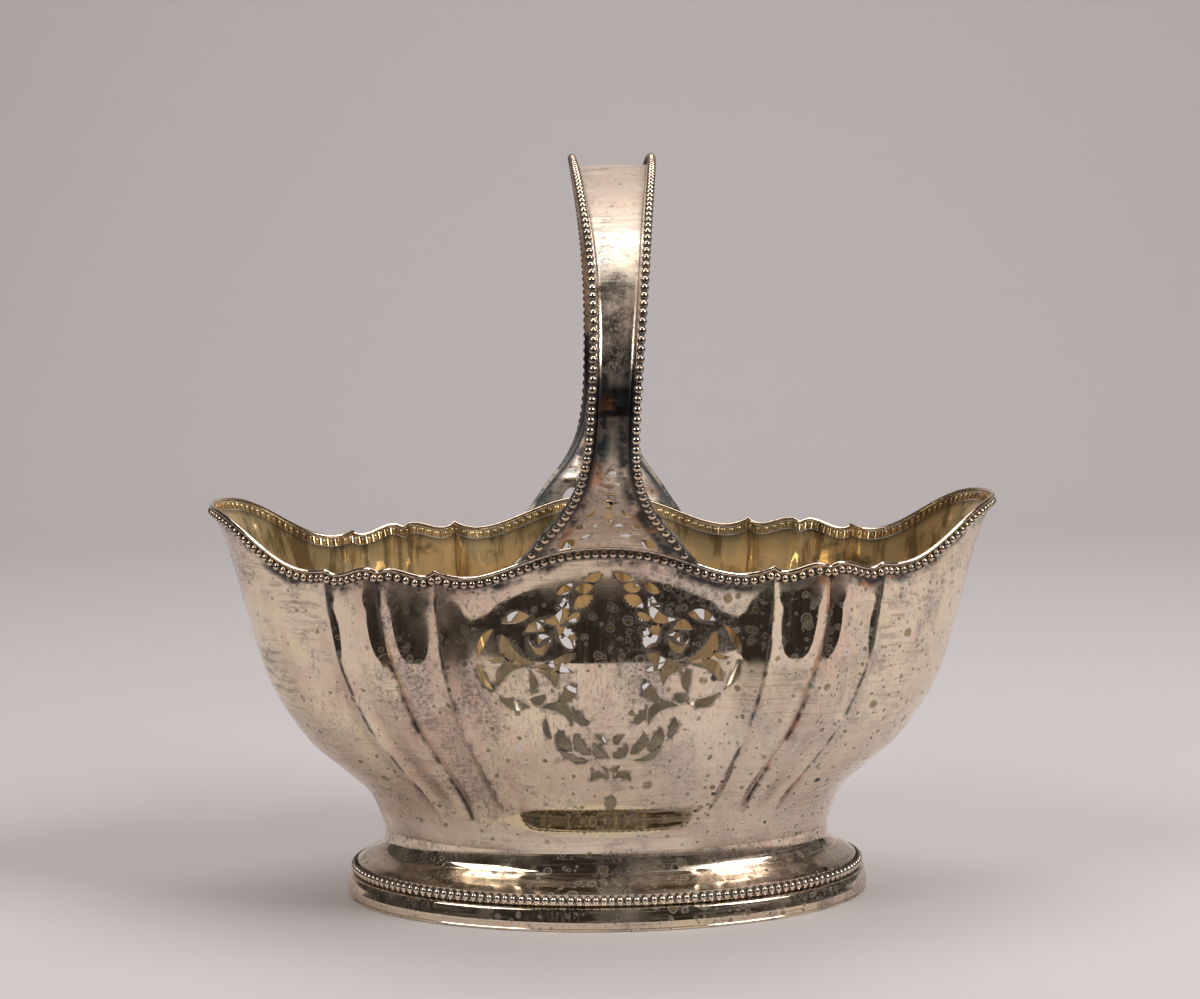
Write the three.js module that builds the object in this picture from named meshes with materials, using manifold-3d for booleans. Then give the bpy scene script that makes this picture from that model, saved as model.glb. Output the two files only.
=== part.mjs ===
// Lobed oval silver basket with a fixed strap handle, beaded borders and pierced cartouches.
// Millimetres, +Z up, origin under the middle of the foot. X runs along the long oval and
// the handle arches over the short way, in the YZ plane.
import * as THREE from 'three';
import { mergeVertices } from 'three/addons/utils/BufferGeometryUtils.js';
import Module from 'manifold-3d';

const wasm = await Module();
wasm.setup();

// Clearance between two soldered pieces.
const SEAM = 0.3;

// Rim outline. Its crest is over the middle of each long side and it peaks at the tips.
const HALF_LENGTH = 150;
const HALF_DEPTH = 85.2;
const RIM_CREST = 143.1;
const RIM_TIP = 151.6;
// Points of one quarter: distance from the middle, set in from the crest, drop under it.
const FRONT_LOW = [51.2, 8.4, 11.5];
const INNER_HOOK = [55.6, 9.4, 11.4];
const INNER_CUSP = [60.3, 8.2, 8.9];
const INNER_LOBE = [[66, 12.6, 15.2], [75, 10.6, 5]];
const GROOVE = [81, 14.6, 10.1];
const OUTER_LOBE = [[88, 15.4, 4.9], [94.5, 24.2, 15.4]];
const OUTER_CUSP = [101, 25.2, 10.2];
const OUTER_HOOK = [103.6, 29.6, 11.2];
const END_LOW = [107.5, 31.5, 11.3];
const END_ARC_CENTRE = 60;

// Bowl wall between the neck and the rim.
const WALL = 1.2;
const NECK_Z = 26;
const NECK_A = 85;
const NECK_B = 54;
const SIDE_TOP_Z = 120;
const FLARE_HEIGHT = 20;
const FLARE_TIP = 4.5;
const FLARE_FRONT = 4.8;
const FLARE_PANEL_END = 3.8;
const FLARE_LEAST = 1;
// How far each lobe stands out of the wall, from its cusp to the groove between lobes.
const LOBE_RELIEF = [1, -0.3, 0.6, 1];
const GROOVE_RELIEF = -1.6;
// Share of the neck-to-rim spread that the wall has reached at a share of its height: along
// the length and across it on the long sides, and in both ways at the ends.
const SIDE_PROFILE = [[0, 0], [0.18, 0.15], [0.36, 0.414], [0.52, 0.66], [0.78, 0.91], [1, 1]];
const SIDE_DEPTH_PROFILE = [[0, 0], [0.18, 0.2], [0.36, 0.5], [0.52, 0.745], [0.7, 0.905],
  [0.85, 0.965], [1, 1]];
const END_PROFILE = [[0, 0], [0.116, 0.1], [0.2, 0.28], [0.28, 0.466], [0.447, 0.688],
  [0.613, 0.802], [0.778, 0.89], [1, 1]];
const WALL_ROWS = [0, 0.07, 0.17, 0.3, 0.47, 0.72, 1];

// Lip wire, and the beaded border under it.
const LIP_RADIUS = 0.8;
const RIM_BEAD = { pitch: 3.1, half: 1.3, rise: 1.3, back: 0.9 };

// Foot, as distances outside the neck oval.
const FOOT_WALL = 1.3;
const FOOT_FLANGE = 6;
const SHOULDER_OUT = 11;
const SHOULDER_Z = 12.8;
const OVOLO = [[9, 14.4], [5.5, 16.2], [2.3, 18.2], [0.4, 20.6]];
const BASE_TOP_Z = 8;
const BASE_OUT = 15.3;
const BASE_RIM_HEIGHT = 1.2;
const BASE_WAIST_OUT = 14.2;
const BASE_WALL = 1.4;
const FOOT_BEAD = { pitch: 3.04, half: 1.3, rise: 1.3, back: 1 };
const FOOT_BEAD_OUT = 12.4;
const FOOT_BEAD_Z = 10.9;

// Handle: path of its beaded edges seen from the end, half widths and section.
const CROWN_Z = 279.6;
const BELLY_Y = 124.2;
const SPRING_Y = 84.6;
const SPRING_DROP = 5;
const SPRING_Z = RIM_CREST - SPRING_DROP;
const BELLY_RISE = 51.7;
const BELLY_Z = SPRING_Z + BELLY_RISE;
const SPRING_ANGLE = 46;
const SPRING_PULL = 28;
const BELLY_PULL_DOWN = 19.8;
const BELLY_PULL_UP = 46;
const CROWN_PULL = 64;
const SKIRT_HALF = 30.9;
const GRIP_HALF = 7.7;
const CROWN_HALF = 14.8;
const GRIP_SHARE = 0.31;
const SKIRT_CURVE = 2.65;
const SEAT_BLEND = 0.1;
const STRAP = 1.2;
const TROUGH_MIDDLE = 2.85;
const TROUGH_SIDE = 3.15;
const EDGE_RIB = 2;
const RIB_WIDTH = 1.7;
const RIB_OVERHANG = 0.8;
// The handle stands a little to the right, and leans and twists further that way as it rises.
const HANDLE_SHIFT = 1.3;
const HANDLE_LEAN = 5;
const HANDLE_TWIST = 1.3;
const LEAN_RISE = 113;
const HANDLE_BEAD = { pitch: 3.46, half: 1.5, rise: 1.6, back: 1.6 };
const BEADS_ABOVE_SEAT = 4.5;

// Openwork of leaves and scrolls round a blank shield, cut through both long sides.
// Each leaf of the right half: from tip, to tip, width, and bow as a share of its length,
// with places given from the middle of the shield.
const OPENWORK_X = 1.3;
const OPENWORK_DROP = 42.1;
const OPENWORK_Z = RIM_CREST - OPENWORK_DROP;
const OPENWORK = [
  [[18.1, 24.3], [12.6, 28.2], 2.6, 0.05],
  [[24.4, 16.4], [13.6, 21.6], 5, 0.12],
  [[18.8, 12.8], [12.4, 5], 4.6, -0.1],
  [[37.8, 13.8], [28.1, 16.4], 3.2, 0.05],
  [[46.5, 1.7], [41.3, 11.4], 2, -0.1],
  [[38.5, 8.3], [27.3, -0.3], 3.2, 0.2],
  [[29.4, 11], [21.2, 3], 2.8, 0.35],
  [[26.6, -2.1], [12.8, -3.6], 2.2, -0.05],
  [[46.7, -1.1], [41.4, -10.9], 2, 0.1],
  [[39.4, -8.3], [28.6, -2.3], 3, -0.2],
  [[27, -4.5], [20.2, -9.6], 3, -0.35],
  [[23.4, -17.6], [13.6, -23.4], 3, -0.3],
];
const PENDANT = [[0, -52.4], [0, -57.8], 3.6, 0];

// Openwork of each skirt: from tip, to tip, width and bow, from the middle of the seat.
const SKIRT_OPENWORK = [
  [[0, 35.4], [0, 30.2], 3.2, 0],
  [[0, 24.4], [0, 18.4], 2.4, 0],
  [[0, 17.6], [0, 13.4], 2.6, 0],
];
const SKIRT_PAIRS = [
  [[4.2, 19.6], [8.2, 16.4], 1.3, 0],
  [[8.1, 13], [11.4, 11.7], 1.8, 0],
  [[4, 9], [10, 7.3], 1.3, 0.05],
  [[12.2, 7], [16.6, 3.6], 2.6, 0],
];

// Facets.
const FRONT_STEPS = 6;
const HOOK_STEPS = 2;
const END_STEPS = 6;
const FOOT_SIDES = 36;
const STRAP_ROWS = 40;

function smooth(t) {
  const c = Math.min(1, Math.max(0, t));
  return c * c * (3 - 2 * c);
}

function mix(a, b, t) {
  return a + (b - a) * t;
}

// Smooth curve through a few knots, flat past both ends.
function throughKnots(knots, x) {
  const last = knots.length - 1;
  if (x <= knots[0][0]) return knots[0][1];
  if (x >= knots[last][0]) return knots[last][1];
  let i = 0;
  while (x > knots[i + 1][0]) i += 1;
  const slope = (j) => {
    const a = knots[Math.max(0, j - 1)];
    const b = knots[Math.min(last, j + 1)];
    return (b[1] - a[1]) / (b[0] - a[0]);
  };
  const [x0, y0] = knots[i];
  const [x1, y1] = knots[i + 1];
  const w = x1 - x0;
  const t = (x - x0) / w;
  const bend = slope(i) * (1 - t) ** 2 * t - slope(i + 1) * (1 - t) * t * t;
  return mix(y0, y1, smooth(t)) + w * bend;
}

// Closed geometry of a mesh, with its faces turned to point out.
function closedGeometry(points, index) {
  const cross = new THREE.Vector3();
  let volume = 0;
  for (let k = 0; k < index.length; k += 3) {
    cross.crossVectors(points[index[k + 1]], points[index[k + 2]]);
    volume += cross.dot(points[index[k]]);
  }
  if (volume < 0) index.reverse();
  const geometry = new THREE.BufferGeometry();
  const flat = points.flatMap((p) => [p.x, p.y, p.z]);
  geometry.setAttribute('position', new THREE.Float32BufferAttribute(flat, 3));
  geometry.setIndex(index);
  return geometry;
}

// Solid from rings with the same number of points. The ends are closed by a fan, by a
// strip across a flat ring, or by joining the last ring to the first.
function solidFromRings(rings, ends) {
  const n = rings[0].length;
  const points = rings.flat();
  const index = [];
  const strips = ends === 'joined' ? rings.length : rings.length - 1;
  for (let r = 0; r < strips; r += 1) {
    const low = r * n;
    const high = ((r + 1) % rings.length) * n;
    for (let i = 0; i < n; i += 1) {
      const j = (i + 1) % n;
      index.push(low + i, low + j, high + j, low + i, high + j, high + i);
    }
  }
  const top = (rings.length - 1) * n;
  if (ends === 'fan') {
    const middle = (ring) => {
      const sum = new THREE.Vector3();
      ring.forEach((p) => sum.add(p));
      return sum.divideScalar(n);
    };
    const first = points.push(middle(rings[0])) - 1;
    const final = points.push(middle(rings[rings.length - 1])) - 1;
    for (let i = 0; i < n; i += 1) {
      const j = (i + 1) % n;
      index.push(first, j, i, final, top + i, top + j);
    }
  }
  if (ends === 'strip') {
    for (let i = 0; i < n / 2 - 1; i += 1) {
      const j = n - 1 - i;
      index.push(i, j - 1, i + 1, i, j, j - 1);
      index.push(top + i, top + i + 1, top + j - 1, top + i, top + j - 1, top + j);
    }
  }
  return closedGeometry(points, index);
}

// Row of studs on a three-sided wire. Each neck has a point, a direction out and one across.
function studRow(necks, bead, joined) {
  const points = [];
  const index = [];
  const count = necks.length;
  necks.forEach(({ point, out, across }) => {
    points.push(point.clone().addScaledVector(across, bead.half));
    points.push(point.clone().addScaledVector(across, -bead.half));
    points.push(point.clone().addScaledVector(out, -bead.back));
  });
  const last = joined ? count : count - 1;
  for (let k = 0; k < last; k += 1) {
    const next = (k + 1) % count;
    const peak = necks[k].point.clone().add(necks[next].point).multiplyScalar(0.5);
    const out = necks[k].out.clone().add(necks[next].out).normalize();
    const apex = points.push(peak.addScaledVector(out, bead.rise)) - 1;
    const [a, b, c] = [3 * k, 3 * k + 1, 3 * k + 2];
    const [d, e, f] = [3 * next, 3 * next + 1, 3 * next + 2];
    index.push(a, b, apex, b, e, apex, e, d, apex, d, a, apex);
    index.push(b, c, f, b, f, e, c, a, d, c, d, f);
  }
  if (!joined) {
    const end = 3 * (count - 1);
    index.push(0, 2, 1, end, end + 1, end + 2);
  }
  return closedGeometry(points, index);
}

function toManifold(geometry) {
  return new wasm.Manifold(new wasm.Mesh({
    numProp: 3,
    vertProperties: new Float32Array(geometry.getAttribute('position').array),
    triVerts: new Uint32Array(geometry.getIndex().array),
  }));
}

// A solid with openings cut through it.
function pierced(geometry, cutters) {
  let solid = toManifold(geometry);
  cutters.forEach((cutter) => {
    solid = solid.subtract(toManifold(cutter));
  });
  const mesh = solid.getMesh();
  const result = new THREE.BufferGeometry();
  result.setAttribute('position', new THREE.Float32BufferAttribute(mesh.vertProperties, 3));
  result.setIndex(Array.from(mesh.triVerts));
  return result;
}

// Bar along the Y axis with the outline of a leaf, to cut an opening with.
function leafCutter([from, to, width, bow], middle, near, far) {
  const a = new THREE.Vector2(...from);
  const along = new THREE.Vector2(...to).sub(a);
  const across = new THREE.Vector2(-along.y, along.x).normalize();
  const at = (t, side) => {
    const off = bow * along.length() * 4 * t * (1 - t) + side * (width / 2) * Math.sin(Math.PI * t);
    return a.clone().addScaledVector(along, t).addScaledVector(across, off);
  };
  const outline = [at(0, 0), at(0.3, 1), at(0.7, 1), at(1, 0), at(0.7, -1), at(0.3, -1)];
  const shape = new THREE.Shape(outline);
  const bar = new THREE.ExtrudeGeometry(shape, { depth: far - near, bevelEnabled: false });
  bar.rotateX(Math.PI / 2);
  bar.translate(middle[0], far, middle[1]);
  bar.deleteAttribute('normal');
  bar.deleteAttribute('uv');
  return mergeVertices(bar, 1e-4);
}

// Leaves with their mirror images.
function inPairs(leaves) {
  return leaves.flatMap(([a, b, width, bow]) => [
    [a, b, width, bow], [[-a[0], a[1]], [-b[0], b[1]], width, -bow],
  ]);
}

// Rim of the basket
const frontReach = 1 - (1 - FRONT_LOW[1] / HALF_DEPTH) ** 2;
const frontHalfWidth = FRONT_LOW[0] / Math.sqrt(frontReach);

// Fall from a crest to a low point; a higher power keeps the crest broad.
function fall(t, power) {
  return (1 - Math.cos(Math.PI * t ** power)) / 2;
}

// Arc of the rim over the middle of a long side, at a distance x from the middle.
function frontArc(x) {
  const t = Math.min(1, Math.abs(x) / FRONT_LOW[0]);
  return {
    x,
    y: HALF_DEPTH * Math.sqrt(1 - (x / frontHalfWidth) ** 2),
    z: RIM_CREST - FRONT_LOW[2] * fall(t, 1.26),
    relief: 0,
    flare: mix(FLARE_FRONT, FLARE_PANEL_END, smooth(t)),
    corner: false,
  };
}

// One quarter of the rim, from the middle of a long side to the tip.
function quarterRim() {
  const list = [];
  for (let i = 0; i < FRONT_STEPS; i += 1) {
    list.push(frontArc((FRONT_LOW[0] * i) / FRONT_STEPS));
  }
  const follow = (controls, reliefs) => {
    const points = controls.map(([x, inset, drop]) => (
      new THREE.Vector3(x, HALF_DEPTH - inset, RIM_CREST - drop)
    ));
    const curve = points.length === 3
      ? new THREE.QuadraticBezierCurve3(...points)
      : new THREE.CubicBezierCurve3(...points);
    reliefs.forEach((relief, i) => {
      const p = curve.getPoint(i / reliefs.length);
      const inPanel = controls[0] === FRONT_LOW;
      const flare = inPanel ? mix(FLARE_PANEL_END, FLARE_LEAST, relief) : FLARE_LEAST;
      list.push({ x: p.x, y: p.y, z: p.z, relief, flare, corner: i === 0 && !inPanel });
    });
  };
  const cuspRise = Array.from({ length: HOOK_STEPS }, (_, i) => i / HOOK_STEPS);
  follow([FRONT_LOW, INNER_HOOK, INNER_CUSP], cuspRise);
  follow([INNER_CUSP, ...INNER_LOBE, GROOVE], LOBE_RELIEF);
  const fromGroove = [GROOVE_RELIEF, ...LOBE_RELIEF.slice(1).reverse()];
  follow([GROOVE, ...OUTER_LOBE, OUTER_CUSP], fromGroove);
  follow([OUTER_CUSP, OUTER_HOOK, END_LOW], cuspRise.map((t) => 1 - t));
  const reach = HALF_LENGTH - END_ARC_CENTRE;
  const start = Math.acos((END_LOW[0] - END_ARC_CENTRE) / reach);
  const breadth = (HALF_DEPTH - END_LOW[1]) / Math.sin(start);
  for (let i = 0; i <= END_STEPS; i += 1) {
    const t = 1 - i / END_STEPS;
    list.push({
      x: END_ARC_CENTRE + reach * Math.cos(start * t),
      y: breadth * Math.sin(start * t),
      z: RIM_TIP - (RIM_TIP - RIM_CREST + END_LOW[2]) * fall(t, 1.85),
      relief: 0,
      flare: mix(FLARE_TIP, FLARE_LEAST, smooth(t)),
      corner: false,
    });
  }
  return list;
}

// The whole rim, with the direction out of the wall at each station.
function wholeRim() {
  const quarter = quarterRim();
  const back = [...quarter].reverse();
  const ring = [
    ...quarter.map((s) => ({ ...s, y: -s.y })),
    ...back.slice(1).map((s) => ({ ...s })),
    ...quarter.slice(1).map((s) => ({ ...s, x: -s.x })),
    ...back.slice(1, -1).map((s) => ({ ...s, x: -s.x, y: -s.y })),
  ];
  const n = ring.length;
  ring.forEach((s, i) => {
    const a = ring[(i + n - 1) % n];
    const b = ring[(i + 1) % n];
    s.out = new THREE.Vector3(b.y - a.y, a.x - b.x, 0).normalize();
  });
  return ring;
}

const rim = wholeRim();
const borderTop = 2 * LIP_RADIUS + SEAM;
const wallTop = borderTop + 2 * RIM_BEAD.half + SEAM;

// Share of the flare that is left at a drop under the rim.
function flareLeft(drop) {
  return Math.max(0, 1 - drop / FLARE_HEIGHT) ** 2;
}

// Point beside the rim: a distance outside it and a drop under its top.
function besideRim(s, outside, drop) {
  const reach = outside - s.flare * (1 - flareLeft(drop));
  return new THREE.Vector3(s.x + s.out.x * reach, s.y + s.out.y * reach, s.z - drop);
}

// Point of the wall under a rim station at a height, set in from its outside.
function wallPoint(s, z, inset) {
  const share = Math.min(1, Math.abs(s.x) / HALF_LENGTH);
  const neckX = Math.sign(s.x) * share * NECK_A;
  const neckY = Math.sign(s.y) * Math.sqrt(1 - share * share) * NECK_B;
  const height = (z - NECK_Z) / (s.z - wallTop - NECK_Z);
  const rise = (z - NECK_Z) / (SIDE_TOP_Z - NECK_Z);
  const endShare = throughKnots(END_PROFILE, height);
  const fillOf = (profile) => mix(throughKnots(profile, rise), endShare, smooth(2 * share - 1));
  const swell = smooth(height / 0.4) * (1 - 0.7 * smooth((height - 0.6) / 0.4));
  const push = s.relief * swell - inset + s.flare * flareLeft(s.z - z);
  return new THREE.Vector3(
    mix(neckX, s.x - s.out.x * s.flare, fillOf(SIDE_PROFILE)) + s.out.x * push,
    mix(neckY, s.y - s.out.y * s.flare, fillOf(SIDE_DEPTH_PROFILE)) + s.out.y * push,
    z,
  );
}

function bowlBody() {
  const ringAt = (share, inset, floor) => (
    rim.map((s) => wallPoint(s, mix(floor, s.z - wallTop, share), inset))
  );
  const outside = WALL_ROWS.map((share) => ringAt(share, 0, NECK_Z));
  const inside = WALL_ROWS.map((share) => ringAt(share, WALL, NECK_Z + WALL));
  const body = solidFromRings([...outside, ...inside.reverse()], 'fan');
  const middle = [OPENWORK_X, OPENWORK_Z];
  const near = NECK_B / 2;
  const far = HALF_DEPTH + WALL;
  return pierced(body, [...inPairs(OPENWORK), PENDANT].flatMap((leaf) => [
    leafCutter(leaf, middle, near, far), leafCutter(leaf, middle, -far, -near),
  ]));
}

function lipWire() {
  const rings = rim.map((s) => (
    [0, 1, 2, 3].map((i) => {
      const angle = (i * Math.PI) / 2;
      const outside = LIP_RADIUS * (Math.cos(angle) - 1);
      return besideRim(s, outside, LIP_RADIUS * (1 - Math.sin(angle)));
    })
  ));
  return solidFromRings(rings, 'joined');
}

// Bead necks along the rim, with one at each cusp and groove.
function rimNecks() {
  const corners = rim.map((s, i) => (s.corner ? i : -1)).filter((i) => i >= 0);
  const necks = [];
  corners.forEach((from, c) => {
    const to = corners[c + 1] ?? corners[0] + rim.length;
    const run = [];
    for (let i = from; i <= to; i += 1) run.push(rim[i % rim.length]);
    const lengths = [0];
    for (let i = 1; i < run.length; i += 1) {
      const [a, b] = [run[i - 1], run[i]];
      lengths.push(lengths[i - 1] + Math.hypot(b.x - a.x, b.y - a.y, b.z - a.z));
    }
    const total = lengths[lengths.length - 1];
    const count = Math.round(total / RIM_BEAD.pitch);
    for (let k = 0; k < count; k += 1) {
      const at = (total * k) / count;
      let i = 0;
      while (lengths[i + 1] < at) i += 1;
      const t = (at - lengths[i]) / (lengths[i + 1] - lengths[i]);
      const [a, b] = [run[i], run[i + 1]];
      const s = {
        x: mix(a.x, b.x, t),
        y: mix(a.y, b.y, t),
        z: mix(a.z, b.z, t),
        flare: mix(a.flare, b.flare, t),
        out: a.out.clone().lerp(b.out, t).normalize(),
      };
      const top = besideRim(s, 0, borderTop);
      const foot = besideRim(s, 0, borderTop + 2 * RIM_BEAD.half);
      const across = top.clone().sub(foot).normalize();
      necks.push({ point: top.add(foot).multiplyScalar(0.5), out: s.out, across });
    }
  });
  return necks;
}

// Foot
function footRing(outside, z) {
  return Array.from({ length: FOOT_SIDES }, (_, i) => {
    const angle = (2 * Math.PI * i) / FOOT_SIDES;
    const x = (NECK_A + outside) * Math.cos(angle);
    return new THREE.Vector3(x, (NECK_B + outside) * Math.sin(angle), z);
  });
}

// Inner side of a sheet whose outer side is a line of [outside, z] points going up.
function sheetInside(line, thickness) {
  return line.map(([out, z], i) => {
    const a = line[Math.max(0, i - 1)];
    const b = line[Math.min(line.length - 1, i + 1)];
    const length = Math.hypot(b[0] - a[0], b[1] - a[1]);
    const scale = thickness / length;
    return [out - (b[1] - a[1]) * scale, z + (b[0] - a[0]) * scale];
  });
}

function pedestal() {
  const top = NECK_Z - SEAM;
  const outer = [[SHOULDER_OUT, BASE_TOP_Z + SEAM], [SHOULDER_OUT, SHOULDER_Z], ...OVOLO];
  const flange = top - FOOT_WALL;
  const profile = [
    ...outer, [0, top], [-FOOT_FLANGE, top], [-FOOT_FLANGE, flange], [-FOOT_WALL, flange],
    ...sheetInside(outer, FOOT_WALL).reverse(),
  ];
  return solidFromRings(profile.map(([out, z]) => footRing(out, z)), 'joined');
}

function baseBand() {
  const seat = SHOULDER_OUT - FOOT_WALL - SEAM;
  const under = BASE_TOP_Z - BASE_WALL;
  const profile = [
    [BASE_OUT, 0], [BASE_OUT, BASE_RIM_HEIGHT], [BASE_WAIST_OUT, 2 * BASE_RIM_HEIGHT],
    [BASE_WAIST_OUT, BASE_TOP_Z], [seat, BASE_TOP_Z], [seat, under],
    [BASE_WAIST_OUT - BASE_WALL, under], [BASE_WAIST_OUT - BASE_WALL, 0],
  ];
  return solidFromRings(profile.map(([out, z]) => footRing(out, z)), 'joined');
}

function footNecks() {
  const across = new THREE.Vector3(0, 0, 1);
  const curve = new THREE.EllipseCurve(0, 0, NECK_A + FOOT_BEAD_OUT, NECK_B + FOOT_BEAD_OUT);
  const count = Math.round(curve.getLength() / FOOT_BEAD.pitch);
  return curve.getSpacedPoints(count).slice(0, count).map((p, k) => {
    const t = curve.getTangentAt(k / count);
    const point = new THREE.Vector3(p.x, p.y, FOOT_BEAD_Z);
    return { point, out: new THREE.Vector3(t.y, -t.x, 0).normalize(), across };
  });
}

// Handle
// Side view of one leg from its seat on the rim to the crown; x is the distance outwards.
const legCurve = new THREE.CurvePath();
const springTurn = THREE.MathUtils.degToRad(SPRING_ANGLE);
legCurve.add(new THREE.CubicBezierCurve(
  new THREE.Vector2(SPRING_Y, SPRING_Z),
  new THREE.Vector2(
    SPRING_Y + SPRING_PULL * Math.sin(springTurn),
    SPRING_Z + SPRING_PULL * Math.cos(springTurn),
  ),
  new THREE.Vector2(BELLY_Y, BELLY_Z - BELLY_PULL_DOWN),
  new THREE.Vector2(BELLY_Y, BELLY_Z),
));
legCurve.add(new THREE.CubicBezierCurve(
  new THREE.Vector2(BELLY_Y, BELLY_Z),
  new THREE.Vector2(BELLY_Y, BELLY_Z + BELLY_PULL_UP),
  new THREE.Vector2(CROWN_PULL, CROWN_Z),
  new THREE.Vector2(0, CROWN_Z),
));
const legLength = legCurve.getLength();

function halfWidth(s) {
  if (s < GRIP_SHARE) {
    return GRIP_HALF + (SKIRT_HALF - GRIP_HALF) * (1 - s / GRIP_SHARE) ** SKIRT_CURVE;
  }
  return mix(GRIP_HALF, CROWN_HALF, smooth((s - GRIP_SHARE) / (1 - GRIP_SHARE)));
}

// How far to the right a leg stands at a distance y outwards and a height z.
function leanAt(side, y, z) {
  const aside = HANDLE_LEAN - (side * HANDLE_TWIST * y) / BELLY_Y;
  return mix(HANDLE_SHIFT, aside, smooth((z - SPRING_Z) / LEAN_RISE));
}

// Place on the leg at a share s of its length: x across, depth under the bead centres.
// Near the seat it bends over to stand on the lip wire.
function legPoint(side, s, x, depth) {
  const p = legCurve.getPointAt(s);
  const t = legCurve.getTangentAt(s);
  let y = p.x - t.y * depth;
  let z = p.y + t.x * depth;
  const settle = 1 - smooth(s / SEAT_BLEND);
  if (settle > 0) {
    const seat = frontArc(x + HANDLE_SHIFT);
    const along = LIP_RADIUS + SEAM;
    const rib = EDGE_RIB + STRAP / 2;
    const t0 = legCurve.getTangentAt(0);
    y += settle * (seat.y - LIP_RADIUS + t0.x * along - SPRING_Y + t0.y * rib);
    z += settle * (seat.z - LIP_RADIUS + t0.y * along - SPRING_Z - t0.x * rib);
  }
  return new THREE.Vector3(x + leanAt(side, y, z), side * y, z);
}

// Side and share of the leg at a share q of the whole handle, front seat to back seat.
function overHandle(q) {
  return q <= 0.5 ? [-1, 2 * q] : [1, 2 - 2 * q];
}

function strap() {
  const rows = [];
  for (let r = 0; r <= STRAP_ROWS; r += 1) {
    const [side, s] = overHandle(r / STRAP_ROWS);
    const w = halfWidth(s);
    const edge = w + RIB_OVERHANG;
    const trough = edge - RIB_WIDTH - (TROUGH_SIDE - EDGE_RIB);
    const half = [
      [edge, EDGE_RIB], [edge - RIB_WIDTH, EDGE_RIB], [trough, TROUGH_SIDE],
      [trough / 2, TROUGH_SIDE],
    ];
    const mirrored = half.map(([x, d]) => [-x, d]);
    const across = [...mirrored, [0, TROUGH_MIDDLE], ...half.reverse()];
    // The relief of the section fades out where the strap stands on the rim.
    const fade = smooth((2 * s) / SEAT_BLEND);
    const line = (under) => (
      across.map(([x, d]) => legPoint(side, s, x, mix(EDGE_RIB, d, fade) + under))
    );
    rows.push([...line(0), ...line(STRAP).reverse()]);
  }
  const far = BELLY_Y + STRAP;
  const openings = [...SKIRT_OPENWORK, ...inPairs(SKIRT_PAIRS)];
  return pierced(solidFromRings(rows, 'strip'), [-1, 1].flatMap((side) => {
    const [near, end] = side < 0 ? [-far, -NECK_B] : [NECK_B, far];
    return openings.map(([a, b, width, bow]) => {
      const leaned = [a, b].map(([x, z]) => [x + leanAt(side, SPRING_Y, SPRING_Z + z), z]);
      return leafCutter([...leaned, width, bow], [0, SPRING_Z], near, end);
    });
  }));
}

function handleNecks(edge) {
  const first = BEADS_ABOVE_SEAT / (2 * legLength);
  const count = Math.round((2 * legLength * (1 - 2 * first)) / HANDLE_BEAD.pitch);
  const across = new THREE.Vector3(1, 0, 0);
  return Array.from({ length: count + 1 }, (_, k) => {
    const [side, s] = overHandle(mix(first, 1 - first, k / count));
    const x = edge * halfWidth(s);
    const point = legPoint(side, s, x, 0);
    const out = point.clone().sub(legPoint(side, s, x, 1)).normalize();
    return { point, out, across };
  });
}

const basket = new THREE.Group();
basket.name = 'handled_basket';

function piece(name, geometry, color, roughness) {
  geometry.computeVertexNormals();
  const material = new THREE.MeshStandardMaterial({ color, roughness, metalness: 1 });
  const mesh = new THREE.Mesh(geometry, material);
  mesh.name = name;
  basket.add(mesh);
}

piece('bowl_body', bowlBody(), 0xb9ada4, 0.3);
piece('rim_lip_wire', lipWire(), 0xd6d0ca, 0.25);
piece('rim_bead_border', studRow(rimNecks(), RIM_BEAD, true), 0xc4bab2, 0.3);
piece('handle_strap', strap(), 0xbdb2aa, 0.28);
piece('handle_bead_wire_left', studRow(handleNecks(-1), HANDLE_BEAD, false), 0xc9c0b8, 0.28);
piece('handle_bead_wire_right', studRow(handleNecks(1), HANDLE_BEAD, false), 0xc9c0b8, 0.28);
piece('foot_pedestal', pedestal(), 0xb7aba2, 0.3);
piece('foot_bead_band', studRow(footNecks(), FOOT_BEAD, true), 0xc2b8b0, 0.3);
piece('foot_base_band', baseBand(), 0xbfb4ac, 0.28);

export default basket;
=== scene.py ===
import bpy, bmesh, math
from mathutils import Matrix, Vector, kdtree


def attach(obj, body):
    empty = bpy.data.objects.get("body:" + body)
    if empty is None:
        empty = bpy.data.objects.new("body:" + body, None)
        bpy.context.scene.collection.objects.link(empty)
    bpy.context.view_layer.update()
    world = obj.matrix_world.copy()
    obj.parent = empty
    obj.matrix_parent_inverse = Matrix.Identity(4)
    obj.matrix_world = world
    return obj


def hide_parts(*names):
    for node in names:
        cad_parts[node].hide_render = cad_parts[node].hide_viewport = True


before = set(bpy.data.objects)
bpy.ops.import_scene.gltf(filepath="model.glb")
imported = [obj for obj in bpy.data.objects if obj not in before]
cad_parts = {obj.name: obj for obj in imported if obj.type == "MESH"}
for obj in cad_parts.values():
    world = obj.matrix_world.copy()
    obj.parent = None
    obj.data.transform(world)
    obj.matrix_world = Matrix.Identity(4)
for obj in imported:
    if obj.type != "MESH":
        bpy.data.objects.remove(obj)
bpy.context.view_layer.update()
scene = bpy.context.scene
mm = 0.001  # the basket is written in millimetres, the scene is in metres
print("stage: frame loaded")


def smooth(t):
    c = min(1.0, max(0.0, t))
    return c * c * (3 - 2 * c)


def mix(a, b, t):
    return a + (b - a) * t


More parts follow.
